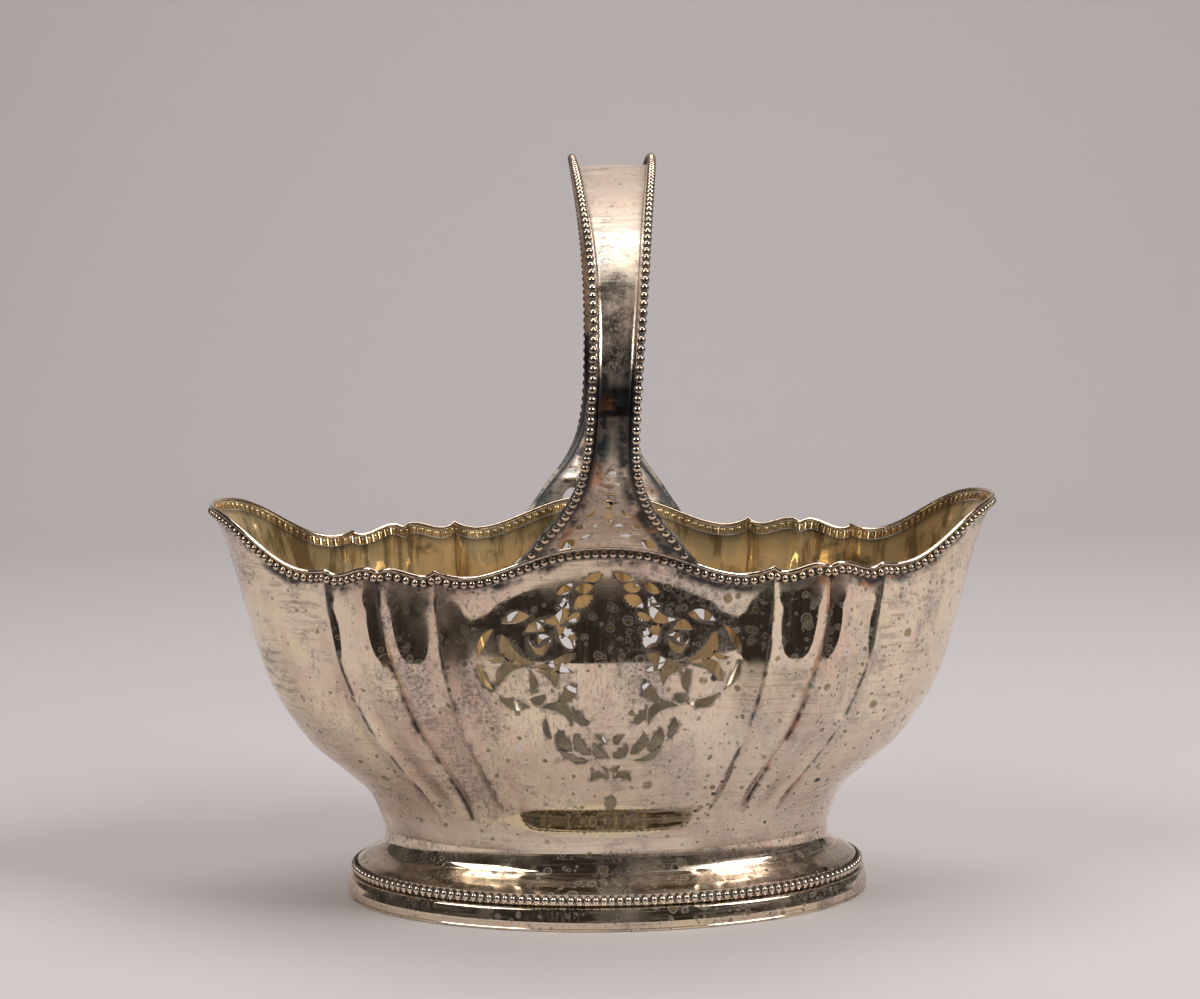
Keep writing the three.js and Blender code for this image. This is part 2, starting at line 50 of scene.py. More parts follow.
def throughKnots(knots, x):  # smooth curve through a few knots, flat past both ends
    last = len(knots) - 1
    if x <= knots[0][0]:
        return knots[0][1]
    if x >= knots[last][0]:
        return knots[last][1]
    i = 0
    while x > knots[i + 1][0]:
        i += 1

    def slope(j):
        a, b = knots[max(0, j - 1)], knots[min(last, j + 1)]
        return (b[1] - a[1]) / (b[0] - a[0])

    (x0, y0), (x1, y1) = knots[i], knots[i + 1]
    w = x1 - x0
    t = (x - x0) / w
    bend = slope(i) * (1 - t) ** 2 * t - slope(i + 1) * (1 - t) * t * t
    return mix(y0, y1, smooth(t)) + w * bend


def bezier(points, t):
    while len(points) > 1:
        points = [a.lerp(b, t) for a, b in zip(points, points[1:])]
    return points[0]


def deselectAll():
    bpy.ops.object.select_all(action="DESELECT")


def activate(obj):
    deselectAll()
    obj.select_set(True)
    bpy.context.view_layer.objects.active = obj


def newPiece(name, points, faces):
    mesh = bpy.data.meshes.new(name)
    mesh.from_pydata([tuple(v * mm for v in p) for p in points], [], faces)
    mesh.update()
    obj = bpy.data.objects.new(name, mesh)
    scene.collection.objects.link(obj)
    return obj


def loft(rings, ends="joined"):  # faces between rings of equally many points
    n = len(rings[0])
    points = [p for ring in rings for p in ring]
    faces = []
    strips = len(rings) if ends == "joined" else len(rings) - 1
    for r in range(strips):
        low, high = r * n, ((r + 1) % len(rings)) * n
        for i in range(n):
            j = (i + 1) % n
            faces.append((low + i, low + j, high + j, high + i))
    if ends == "caps":
        faces.append(tuple(reversed(range(n))))
        faces.append(tuple(range((len(rings) - 1) * n, len(rings) * n)))
    if ends == "strip":
        top = (len(rings) - 1) * n
        for i in range(n // 2 - 1):
            j = n - 1 - i
            faces.append((i, j, j - 1, i + 1))
            faces.append((top + i, top + i + 1, top + j - 1, top + j))
    return points, faces


def faceOutwards(obj):
    activate(obj)
    bpy.ops.object.mode_set(mode="EDIT")
    bpy.ops.mesh.select_all(action="SELECT")
    bpy.ops.mesh.normals_make_consistent(inside=False)
    bpy.ops.object.mode_set(mode="OBJECT")


def smoothShade(obj, degrees):
    activate(obj)
    bpy.ops.object.shade_smooth_by_angle(angle=math.radians(degrees))


def finishPiece(obj, node, slot, *materials):
    for material in materials:
        obj.data.materials.append(material)
    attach(obj, "root")
    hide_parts(node)


camera = {
    "lens": 82.985, "sensor": 36, "place": (-0.00597, -1.04774, 0.26339), "turn": (83.834, 0.733, -0.36),
}
bpy.ops.object.camera_add(location=camera["place"], rotation=[math.radians(a) for a in camera["turn"]])
view = bpy.context.object
view.data.lens = camera["lens"]
view.data.sensor_width = camera["sensor"]
scene.camera = view
scene.view_settings.view_transform = "Standard"
print("stage: camera")

rimSize = {
    "halfLength": 149.68, "halfDepth": 85.2, "crest": 143.1, "tip": 151.6,
    "frontLow": (51.2, 8.4, 11.5), "innerHook": (55.6, 9.4, 11.4), "innerCusp": (60.3, 8.2, 8.9),
    "innerLobe": ((66, 12.6, 15.2), (75, 10.6, 5)), "groove": (81, 14.6, 10.1),
    "outerLobe": ((88, 15.4, 4.9), (94.5, 24.2, 15.4)), "outerCusp": (101, 25.2, 10.2),
    "outerHook": (103.6, 29.6, 11.2), "endLow": (107.5, 31.5, 11.3), "endArcCentre": 60,
    "flareHeight": 20, "flareTip": 4.5, "flareFront": 4.8, "flarePanelEnd": 3.8, "flareLeast": 1,
    "lobeRelief": ((0, 1), (0.25, -0.3), (0.5, 0.6), (0.75, 1), (1, -1.6)),
    "frontFall": 1.26, "tipFall": 1.85, "lip": 0.8, "gap": 0.12,
    "bead": 1.4, "beadPitch": 3.1, "beadOut": 0.1, "beadSquash": 0.95, "underBeads": 0.3,
    "strip": (-0.2, -0.8), "ridge": 0.3, "ridgeFoot": -0.7, "ridgeTop": -1.2, "ridgeBottom": -1.9,
}
rimSteps = {"front": 24, "hook": 6, "lobe": 16, "end": 24}


def rimPlace(point):  # from (x, how far inside the widest line, how far under the crest)
    x, inset, drop = point
    return Vector((x, rimSize["halfDepth"] - inset, rimSize["crest"] - drop))


frontHalf = rimSize["frontLow"][0] / math.sqrt(1 - (1 - rimSize["frontLow"][1] / rimSize["halfDepth"]) ** 2)


def fall(t, power):  # eased from 0 to 1, later with more power
    return (1 - math.cos(math.pi * t ** power)) / 2


def frontArc(x):  # station on the raised arc over the cartouche
    t = min(1, abs(x) / rimSize["frontLow"][0])
    return {
        "p": Vector((x, rimSize["halfDepth"] * math.sqrt(1 - (x / frontHalf) ** 2),
                     rimSize["crest"] - rimSize["frontLow"][2] * fall(t, rimSize["frontFall"]))),
        "relief": 0, "corner": False,
        "flare": mix(rimSize["flareFront"], rimSize["flarePanelEnd"], smooth(t)),
    }


def quarterRim(steps):  # from the middle of a long side to the tip: arc, cusp, two lobes, cusp, end
    stations = [frontArc(rimSize["frontLow"][0] * i / steps["front"]) for i in range(steps["front"])]

    def follow(controls, count, relief, cornerFirst, flare=lambda t: rimSize["flareLeast"]):
        places = [rimPlace(c) for c in controls]
        for i in range(count):
            t = i / count
            stations.append({"p": bezier(places, t), "relief": relief(t),
                             "corner": cornerFirst and i == 0, "flare": flare(t)})

    r = rimSize
    lobe = r["lobeRelief"]
    follow([r["frontLow"], r["innerHook"], r["innerCusp"]], steps["hook"], lambda t: t, False,
           lambda t: mix(r["flarePanelEnd"], r["flareLeast"], smooth(t)))
    follow([r["innerCusp"], *r["innerLobe"], r["groove"]], steps["lobe"],
           lambda t: throughKnots(lobe, t), True)
    follow([r["groove"], *r["outerLobe"], r["outerCusp"]], steps["lobe"],
           lambda t: throughKnots(lobe, 1 - t), True)
    follow([r["outerCusp"], r["outerHook"], r["endLow"]], steps["hook"], lambda t: 1 - t, True)
    low = rimPlace(r["endLow"])
    reach = r["halfLength"] - r["endArcCentre"]
    start = math.acos((low.x - r["endArcCentre"]) / reach)
    for i in range(steps["end"] + 1):
        t = 1 - i / steps["end"]
        stations.append({
            "p": Vector((r["endArcCentre"] + reach * math.cos(start * t),
                         low.y / math.sin(start) * math.sin(start * t),
                         r["tip"] - (r["tip"] - low.z) * fall(t, r["tipFall"]))),
            "relief": 0, "corner": False, "flare": mix(r["flareTip"], r["flareLeast"], smooth(t)),
        })
    return stations


def mirrored(station, sx, sy):
    p = station["p"]
    return {**station, "p": Vector((p.x * sx, p.y * sy, p.z))}


def wholeRim(steps):
    quarter = quarterRim(steps)
    back = quarter[::-1]
    ring = ([mirrored(s, 1, -1) for s in quarter] + [mirrored(s, 1, 1) for s in back[1:]]
            + [mirrored(s, -1, 1) for s in quarter[1:]] + [mirrored(s, -1, -1) for s in back[1:-1]])
    n = len(ring)
    for i, s in enumerate(ring):
        a, b = ring[i - 1]["p"], ring[(i + 1) % n]["p"]
        s["out"] = Vector((b.y - a.y, a.x - b.x, 0)).normalized()
    return ring


rim = wholeRim(rimSteps)


def flareLeft(drop):  # what is left of the rim's flare so far under the lip
    return max(0.0, 1 - drop / rimSize["flareHeight"]) ** 2


def besideRim(s, outside, drop):  # point beside a station, following the flare
    reach = outside - s["flare"] * (1 - flareLeft(drop))
    return s["p"] + s["out"] * reach - Vector((0, 0, drop))


def alongRim(pitch):  # stations at an even spacing, with one at each cusp and groove
    corners = [i for i, s in enumerate(rim) if s["corner"]]
    places = []
    for c, first in enumerate(corners):
        last = corners[c + 1] if c + 1 < len(corners) else corners[0] + len(rim)
        run = [rim[i % len(rim)] for i in range(first, last + 1)]
        lengths = [0.0]
        for a, b in zip(run, run[1:]):
            lengths.append(lengths[-1] + (b["p"] - a["p"]).length)
        count = round(lengths[-1] / pitch)
        for k in range(count):
            at = lengths[-1] * (k + 0.5) / count
            i = max(j for j in range(len(run) - 1) if lengths[j] <= at)
            t = (at - lengths[i]) / (lengths[i + 1] - lengths[i])
            a, b = run[i], run[i + 1]
            places.append({"p": a["p"].lerp(b["p"], t), "out": a["out"].lerp(b["out"], t).normalized(),
                           "flare": mix(a["flare"], b["flare"], t),
                           "along": (b["p"] - a["p"]).normalized()})
    return places


bowlSize = {
    "wall": 1.2, "neckZ": 26, "neckA": 85, "neckB": 54, "sideTop": 120, "rows": 62, "rowCrowding": 1.1,
    "panelEnd": 0.3, "panelBlend": 0.12, "swellFull": 0.4, "swellFrom": 0.6, "swellLoss": 0.7,
    "giltFloor": 28.5,
    # how far out the wall is (0 neck, 1 rim) against its height, along the sides and at the ends
    "side": ((0, 0), (0.18, 0.15), (0.36, 0.414), (0.52, 0.66), (0.78, 0.91), (1, 1)),
    "lobeDepth": ((0, 0), (0.18, 0.2), (0.36, 0.53), (0.52, 0.75), (0.66, 0.88), (0.775, 0.962),
                  (0.84, 0.984), (1, 1)),
    "panelDepth": ((0, 0), (0.06, 0.015), (0.11, 0.1), (0.21, 0.35), (0.36, 0.59), (0.52, 0.765),
                   (0.66, 0.88), (0.775, 0.962), (0.84, 0.984), (1, 1)),
    "end": ((0, 0), (0.116, 0.1), (0.2, 0.28), (0.28, 0.466), (0.447, 0.688), (0.613, 0.802),
            (0.778, 0.89), (1, 1)),
}
borderTop = 2 * rimSize["lip"] + rimSize["gap"]
wallTop = borderTop + 2 * rimSize["bead"] + rimSize["underBeads"]


def wallPoint(s, z, inset):  # point of the bowl's wall under a rim station
    b = bowlSize
    p, out = s["p"], s["out"]
    share = min(1, abs(p.x) / rimSize["halfLength"])
    neck = (math.copysign(share * b["neckA"], p.x),
            math.copysign(math.sqrt(1 - share * share) * b["neckB"], p.y))
    height = (z - b["neckZ"]) / (p.z - wallTop - b["neckZ"])
    rise = (z - b["neckZ"]) / (b["sideTop"] - b["neckZ"])
    end = throughKnots(b["end"], height)
    side, lobe, panel = (throughKnots(b[k], rise) for k in ("side", "lobeDepth", "panelDepth"))
    fill = mix(side, end, smooth(2 * share - 1))
    depth = mix(panel, lobe, smooth((share - b["panelEnd"]) / b["panelBlend"]))
    fillDepth = mix(depth, end, smooth(2 * share - 1))
    swell = smooth(height / b["swellFull"])
    swell *= 1 - b["swellLoss"] * smooth((height - b["swellFrom"]) / (1 - b["swellFrom"]))
    push = s["relief"] * swell - inset + s["flare"] * flareLeft(p.z - z)
    return Vector((mix(neck[0], p.x - out.x * s["flare"], fill) + out.x * push,
                   mix(neck[1], p.y - out.y * s["flare"], fillDepth) + out.y * push, z))


openwork = {
    "x": 1.3, "z": 101, "fat": 0.6, "blunt": 0.72, "tooth": 0.9,
    "bowlReach": (40, 95), "skirtReach": (60, 127),  # how far from and to the cutters reach along Y
    # right half of the cartouche: from tip, to tip, width, bow, fat end (under 1 towards the first tip)
    # and, beside the shield, the toothed side
    "leaves": (
        ((18.1, 24.3), (12.6, 28.2), 2.7, 0.05, 1), ((11.6, 26.2), (5.2, 27.2), 3, 0.05, 1),
        ((9.2, 29.6), (2.2, 31.9), 2.7, 0.1, 1.3),
        ((25.2, 15), (14.2, 22.6), 3.4, 0.3, 1.3), ((15.4, 23.2), (18.4, 19.4), 1.9, -0.25, 0.8),
        ((12.3, 19.2), (5.7, 23.6), 3.6, -0.05, 1.1, 1), ((15.8, 15.2), (10.3, 17.6), 2.5, 0.15, 1.3, 1),
        ((19, 13.4), (13, 4.6), 4.7, -0.1, 1.4, -1),
        ((38, 13.6), (28.1, 16.6), 3.5, -0.08, 1.2), ((29.6, 10.8), (22.6, 11.2), 3.1, -0.25, 1),
        ((46.6, 1.4), (41.3, 11.6), 2.1, -0.1, 1),
        ((38.2, 9.6), (26.4, -0.6), 4.2, 0.22, 0.7), ((43.2, 0.2), (36.6, 3.6), 1.6, 0.2, 1),
        ((29, 8.6), (20.4, 8.4), 2.5, 0.56, 1.5), ((20.6, 8.8), (25, 6.2), 1.9, 0.35, 1.3),
        ((21.6, -0.1), (13.2, 2.6), 3, 0.12, 1.4),
        ((28, -2), (12.7, -3.9), 2.4, -0.06, 1.3), ((46.8, -1.1), (41.3, -11.2), 2.1, 0.1, 1),
        ((40.2, -8.6), (27.8, -1.6), 3.7, -0.25, 0.65), ((39.4, -13.2), (28.6, -16.8), 3.2, 0.12, 1.4),
        ((28.4, -3.2), (27.8, -12.4), 2.4, -0.12, 1.2), ((26, -3.4), (19, -9.6), 3.3, -0.35, 1.2),
        ((28.6, -14), (22.6, -12.8), 3, 0.2, 1),
        ((18.9, -16), (12.4, -8), 3.9, 0.1, 1.5, 1), ((24.4, -17), (13.6, -24), 3.3, -0.3, 0.8),
        ((22.9, -21), (21, -29), 1.9, 0.12, 1), ((13.3, -16.6), (7.4, -23.4), 2.3, 0.15, 1.3, -1),
        ((18.2, -25.6), (13.8, -33.6), 3.3, 0.12, 1), ((12.3, -26.8), (7.2, -35), 3, 0.14, 1),
        ((18.4, -33), (8, -37.6), 1.7, 0.12, 1), ((5.8, -30.6), (1, -36), 2.4, 0.2, 1.2),
        ((5.4, -27.4), (1.4, -31), 1.4, -0.1, 1), ((7.4, -45.6), (1.1, -44.4), 2.2, -0.32, 0.8),
        ((3.4, -39.6), (1, -43.2), 1, -0.2, 1),
    ),
    "pendant": ((0, -51.6), (0, -57.8), 3.6, 0, 1),
    "skirt": (((0, 36), (0, 30), 3.2, 0, 1.2), ((0, 25), (0, 18.4), 2.3, 0, 1.5),
              ((0, 18.4), (0, 13.6), 2.7, 0, 0.8), ((-3.9, 29.4), (3.9, 29.4), 1.8, -0.12, 1),
              ((-4.2, 25.4), (4.2, 25.4), 1.2, 0, 1), ((-4.2, 22), (4.2, 22), 1.1, 0, 1)),
    "skirtPairs": (((4.1, 19.8), (8.3, 16.2), 1.3, -0.12, 1), ((8.1, 13.2), (11.6, 11.7), 1.9, 0, 1),
                   ((1.9, 13), (5.4, 12.6), 1.1, 0.1, 1), ((4, 9.1), (10.2, 7.3), 1.3, 0.08, 1),
                   ((11.6, 7.4), (17.2, 3.5), 2.9, 0, 0.8)),
}


def leafOutline(leaf):  # closed outline of one opening
    a, b = Vector(leaf[0]), Vector(leaf[1])
    toothed = leaf[5] if len(leaf) > 5 else 0
    steps = 12 if toothed else 10
    along = b - a
    across = Vector((-along.y, along.x)).normalized()

    def at(t, side):
        off = leaf[3] * along.length * 4 * t * (1 - t)
        off += side * leaf[2] * openwork["fat"] * math.sin(math.pi * t ** leaf[4]) ** openwork["blunt"]
        if side == toothed and 0 < t < 1:
            off += side * openwork["tooth"] * (round(t * steps) % 2 - 0.5)
        return a + along * t + across * off

    upper = [at(i / steps, 1) for i in range(steps)]
    lower = [at(1 - i / steps, -1) for i in range(steps)]
    return upper + lower


def mirrorLeaf(leaf):
    turned = tuple(-t for t in leaf[5:])
    return ((-leaf[0][0], leaf[0][1]), (-leaf[1][0], leaf[1][1]), leaf[2], -leaf[3], leaf[4], *turned)


def leafCutters(name, leaves, middle, reach, lean=lambda side, z: 0):  # bars along Y, on both long sides
    points, faces = [], []
    for leaf in leaves:
        outline = leafOutline(leaf)
        for side in (-1, 1):
            first = len(points)
            ring = [[(middle[0] + lean(side, middle[1] + q.y) + q.x, side * y, middle[1] + q.y)
                     for q in outline] for y in reach]
            p, f = loft(ring, "caps")
            points += p
            faces += [tuple(first + i for i in face) for face in f]
    cutter = newPiece(name, points, faces)
    faceOutwards(cutter)
    return cutter


def cutWith(obj, cutter):  # gives back the points along the cut edges
    before = {tuple(round(c, 6) for c in v.co) for v in obj.data.vertices}
    activate(obj)
    cut = obj.modifiers.new("openwork", "BOOLEAN")
    cut.operation = "DIFFERENCE"
    cut.solver = "MANIFOLD"
    cut.object = cutter
    bpy.ops.object.modifier_apply(modifier=cut.name)
    bpy.data.objects.remove(cutter)
    obj.data.materials.clear()
    return [v.co / mm for v in obj.data.vertices if tuple(round(c, 6) for c in v.co) not in before]


def makeBowl():
    rows, floor, wall = bowlSize["rows"], bowlSize["neckZ"], bowlSize["wall"]
    shares = [(i / rows) ** bowlSize["rowCrowding"] for i in range(rows + 1)]

    def ringAt(share, inset, low):
        return [wallPoint(s, mix(low, s["p"].z - wallTop, share), inset) for s in rim]

    outside = [ringAt(share, 0, floor) for share in shares]
    inside = [ringAt(share, wall, floor + wall) for share in shares]
    bowl = newPiece("bowlWall", *loft(outside + inside[::-1], "caps"))
    faceOutwards(bowl)
    half = list(openwork["leaves"])
    leaves = half + [mirrorLeaf(leaf) for leaf in half] + [openwork["pendant"]]
    middle = (openwork["x"], openwork["z"])
    edges = cutWith(bowl, leafCutters("bowlCutters", leaves, middle, openwork["bowlReach"]))
    return bowl, edges


bowl, bowlEdges = makeBowl()
print("stage: bowl", len(bowl.data.polygons))


def tube(name, line, radius, sides, sunk=0, closed=True):  # round a line of (place, out) pairs
    last = len(line) - 1
    rings = []
    for i, (place, out) in enumerate(line):
        before, after = (i - 1, (i + 1) % len(line)) if closed else (max(i - 1, 0), min(i + 1, last))
        ahead = (line[after][0] - line[before][0]).normalized()
        up = out.cross(ahead).normalized()
        rings.append([place - out * sunk + (out * math.cos(a) + up * math.sin(a)) * radius
                      for a in (2 * math.pi * k / sides for k in range(sides))])
    obj = newPiece(name, *loft(rings, "joined" if closed else "caps"))
    faceOutwards(obj)
    return obj


def markPoints(obj, name, values):  # a number at each point, for the finishes to read
    obj.data.attributes.new(name, "FLOAT", "POINT").data.foreach_set("value", values)


def beadMaster(radius, squash, tall=1, around=10, upwards=6):
    bpy.ops.mesh.primitive_uv_sphere_add(segments=around, ring_count=upwards, radius=radius * mm)
    obj = bpy.context.object
    obj.scale = (1, squash, tall)
    bpy.ops.object.transform_apply(location=False, rotation=False, scale=True)
    bpy.ops.object.shade_smooth()
    return obj


def strewBeads(name, master, places):  # one mesh with a bead at each (centre, out, along)
    mesh = bmesh.new()
    radius = max(v.co.y for v in master.data.vertices)
    reach = [v.co.y / radius for v in master.data.vertices] * len(places)
    for centre, out, along in places:
        start = len(mesh.verts)
        mesh.from_mesh(master.data)
        mesh.verts.ensure_lookup_table()
        up = along.cross(out).normalized()
        side = out.cross(up).normalized()
        for v in mesh.verts[start:]:
            x, y, z = v.co
            v.co = Vector(centre) * mm + side * x + out * y + up * z
    obj = newPiece(name, [], [])
    mesh.to_mesh(obj.data)
    mesh.free()
    for face in obj.data.polygons:
        face.use_smooth = True
    markPoints(obj, "wearAndShade", [smooth(0.15 + 1.1 * r) for r in reach])  # 1 on top of a bead, less beside it, where patina and painted shade go
    bpy.data.objects.remove(master)
    return obj


def joinPieces(name, *objects):
    deselectAll()
    for obj in objects:
        obj.select_set(True)
    bpy.context.view_layer.objects.active = objects[0]
    bpy.ops.object.join()
    objects[0].name = name
    return objects[0]


lipLine = [(besideRim(s, -rimSize["lip"], rimSize["lip"]), s["out"]) for s in rim]
lip = tube("rimLip", lipLine, rimSize["lip"], 10)
smoothShade(lip, 60)


def rimRidges():  # thin walls between the hollow backs of the stamped beads
    points, faces = [], []
    r = rimSize
    stops = alongRim(r["beadPitch"])
    for s, t in zip(stops, stops[1:] + stops[:1]):
        if (s["p"] - t["p"]).length > 1.4 * r["beadPitch"]:
            continue
        gap = {"p": s["p"].lerp(t["p"], 0.5), "out": s["out"], "flare": s["flare"]}
        half = s["along"] * r["ridge"] / 2
        first = len(points)
        ring = []
        for reach, drop in ((r["ridgeTop"], borderTop + 0.1), (r["ridgeBottom"], wallTop - 0.4)):
            foot, end = besideRim(gap, r["ridgeFoot"], drop), besideRim(gap, reach, drop)
            ring.append([foot + half, end + half, end - half, foot - half])
        p, f = loft(ring, "caps")
        points += p
        faces += [tuple(first + i for i in face) for face in f]
    ridges = newPiece("rimRidges", points, faces)
    faceOutwards(ridges)
    markPoints(ridges, "wearAndShade", [1] * len(points))
    return ridges


def rimBeads():
    r = rimSize
    places = [(besideRim(s, r["beadOut"], borderTop + r["bead"]), s["out"], s["along"])
              for s in alongRim(r["beadPitch"])]
    beads = strewBeads("rimBeads", beadMaster(r["bead"], r["beadSquash"]), places)
    # the stamped strip that carries the beads, thin between the lip and the wall
    face, back = r["strip"]
    top, bottom = borderTop, wallTop - 0.15
    section = ((face, top), (face, bottom), (back, bottom), (back, top))
    strip = newPiece("rimStrip", *loft([[besideRim(s, o, d) for o, d in section] for s in rim]))
    faceOutwards(strip)
    smoothShade(strip, 40)
    # the strip gets no mark of its own when joined, so the bead finish lays full patina and painted shade on
    # it behind the beads
    return joinPieces("rimBeadBorder", strip, beads, rimRidges())


rimBorder = rimBeads()
print("stage: rim")

footSize = {
    "wall": 1.3, "flange": 6, "shoulder": 11, "shoulderZ": 12.8, "sides": 160,
    "ovolo": ((9.2, 14.2), (7.6, 15.1), (5.6, 16), (4.0, 16.9), (2.6, 17.9), (1.5, 19.1), (0.7, 20.4),
              (0.2, 22.2)),
    "baseTop": 8.4, "baseOut": 15.3, "baseWaist": 14.1, "baseBand": 4.1, "baseWall": 1.4,
    "bead": 1.36, "beadTall": 1.3, "beadPitch": 3.04, "beadOut": 12.2, "beadZ": 10.6,
    "core": 0.75, "coreIn": 0.7,
}


def ovalTurning(name, profile):  # an oval ring swept through a closed profile of (outside, z) pairs
    a0, b0 = bowlSize["neckA"], bowlSize["neckB"]
    bpy.ops.mesh.primitive_circle_add(vertices=footSize["sides"], radius=1, location=(0, 0, 0))
    obj = bpy.context.object
    obj.name = name
    bpy.ops.object.mode_set(mode="EDIT")
    bpy.ops.mesh.select_all(action="SELECT")
    out, z = profile[0]
    bpy.ops.transform.resize(value=((a0 + out) * mm, (b0 + out) * mm, 1))
    bpy.ops.transform.translate(value=(0, 0, z * mm))
    for (o0, z0), (o1, z1) in zip(profile, profile[1:] + profile[:1]):
        bpy.ops.mesh.extrude_edges_move(TRANSFORM_OT_translate={"value": (0, 0, (z1 - z0) * mm)})
        bpy.ops.transform.resize(value=((a0 + o1) / (a0 + o0), (b0 + o1) / (b0 + o0), 1),
                                 center_override=(0, 0, z1 * mm))
    bpy.ops.mesh.select_all(action="SELECT")
    bpy.ops.mesh.remove_doubles(threshold=1e-6)
    bpy.ops.mesh.normals_make_consistent(inside=False)
    bpy.ops.object.mode_set(mode="OBJECT")
    return obj


def makePedestal():
    wall, shoulder, flange = footSize["wall"], footSize["shoulder"], footSize["flange"]
    bottom, top = footSize["baseTop"] + 0.1, bowlSize["neckZ"] - 0.05
    outer = [(shoulder, bottom), (shoulder, footSize["shoulderZ"]), *footSize["ovolo"], (0, top)]
    inner = [(o - wall, max(bottom, z - wall * (0.75 if 0.4 < o < 10.5 else 0))) for o, z in outer[:-2]]
    profile = outer + [(-flange, top), (-flange, top - wall), (-wall, top - wall)] + inner[::-1]
    return ovalTurning("footPedestal", profile)


def makeBase():
    top, out, waist = footSize["baseTop"], footSize["baseOut"], footSize["baseWaist"]
    band, wall = footSize["baseBand"], footSize["baseWall"]
    seat = footSize["shoulder"] - footSize["wall"] - 0.3
    under = top - wall
    # up the outside from the ground, over the sloped band to the seat, and down the inside
    profile = [(out - 0.5, 0), (out - 0.2, 0.3), (out - 0.15, 0.9), (out - 0.3, 1.1), (out - 0.1, band - 0.4),
               (out - 0.25, band), (mix(out, waist, 0.5), mix(band, top, 0.45)), (waist + 0.15, top - 0.9),
               (waist - 0.15, top - 0.35), (waist - 0.6, top - 0.1), (waist - 1.3, top), (seat, top),
               (seat, under), (waist - wall, under), (waist - wall, 0)]
    return ovalTurning("footBase", profile)


pedestal = makePedestal()
smoothShade(pedestal, 50)
base = makeBase()
smoothShade(base, 35)


def footBeads():
    a, b = bowlSize["neckA"] + footSize["beadOut"], bowlSize["neckB"] + footSize["beadOut"]
    fine = 2000  # short steps round the oval, to space the beads evenly
    turns = [2 * math.pi * i / fine for i in range(fine)]
    ring = [Vector((a * math.cos(t), b * math.sin(t), footSize["beadZ"])) for t in turns]
    lengths = [0.0]
    for i in range(fine):
        lengths.append(lengths[-1] + (ring[(i + 1) % fine] - ring[i]).length)
    count = round(lengths[-1] / footSize["beadPitch"])
    places, line = [], []
    j = 0
    for k in range(count):
        while lengths[j + 1] <= lengths[-1] * k / count:
            j += 1
        p = ring[j]
        out = Vector((p.x / a ** 2, p.y / b ** 2, 0)).normalized()
        along = Vector((-out.y, out.x, 0))
        places.append((p, out, along))
        line.append((p, out))
    beads = strewBeads("footBeads", beadMaster(footSize["bead"], 1, footSize["beadTall"]), places)
    core = tube("footCore", line, footSize["core"], 8, footSize["coreIn"])
    smoothShade(core, 60)
    return joinPieces("footBeadBand", core, beads)


footBand = footBeads()
print("stage: foot")

handleSize = {
    "crown": 279.6, "bellyY": 124.2, "bellyZ": 189.8, "springY": 84.6, "springZ": 138.1, "springAngle": 46,
    "springPull": 28, "bellyDown": 19.8, "bellyUp": 46, "crownPull": 64,
    "skirt": 30.9, "grip": 7.7, "crownHalf": 14.8, "gripShare": 0.31, "skirtCurve": 2.65, "blend": 0.1,
    "strap": 1.2, "middle": 2.85, "side": 3.15, "rib": 2, "ribWidth": 1.7, "overhang": 0.8,
    "shift": 1.3, "lean": 5, "twist": 1.3, "leanRise": 113,
    "bead": 1.55, "beadPitch": 3.46, "beadStart": 3.5, "core": 0.95, "coreIn": 0.55,
    "dirtTo": 0.35, "dirtAside": 0.86, "rows": 300, "steps": 400,
}


def legTable():  # one leg from the rim to the crown in short steps, with the length so far
    h = handleSize
    turn = math.radians(h["springAngle"])
    lower = [Vector((h["springY"], h["springZ"])),
             Vector((h["springY"] + h["springPull"] * math.sin(turn),
                     h["springZ"] + h["springPull"] * math.cos(turn))),
             Vector((h["bellyY"], h["bellyZ"] - h["bellyDown"])), Vector((h["bellyY"], h["bellyZ"]))]
    upper = [lower[3], Vector((h["bellyY"], h["bellyZ"] + h["bellyUp"])),
             Vector((h["crownPull"], h["crown"])), Vector((0, h["crown"]))]
    n = h["steps"]
    points = [bezier(lower, i / n) for i in range(n)]
    points += [bezier(upper, i / (2 * n)) for i in range(2 * n + 1)]
    lengths = [0.0]
    for a, b in zip(points, points[1:]):
        lengths.append(lengths[-1] + (b - a).length)
    return points, lengths


legPoints, legLengths = legTable()
legLength = legLengths[-1]


def onLeg(s):  # point and direction at a share of the leg's length
    at = min(1, max(0, s)) * legLength
    low, high = 0, len(legLengths) - 2
    while low < high:
        middle = (low + high + 1) // 2
        if legLengths[middle] <= at:
            low = middle
        else:
            high = middle - 1
    a, b = legPoints[low], legPoints[low + 1]
    t = (at - legLengths[low]) / (legLengths[low + 1] - legLengths[low])
    return a.lerp(b, t), (b - a).normalized()


def halfWidth(s):  # half the strap's width at a share of the leg
    h = handleSize
    if s < h["gripShare"]:
        return h["grip"] + (h["skirt"] - h["grip"]) * (1 - s / h["gripShare"]) ** h["skirtCurve"]
    return mix(h["grip"], h["crownHalf"], smooth((s - h["gripShare"]) / (1 - h["gripShare"])))


def leanAt(side, y, z):  # the handle stands a little to the right, bent and twisted further that way
    h = handleSize
    aside = h["lean"] - side * h["twist"] * y / h["bellyY"]
    return mix(h["shift"], aside, smooth((z - h["springZ"]) / h["leanRise"]))


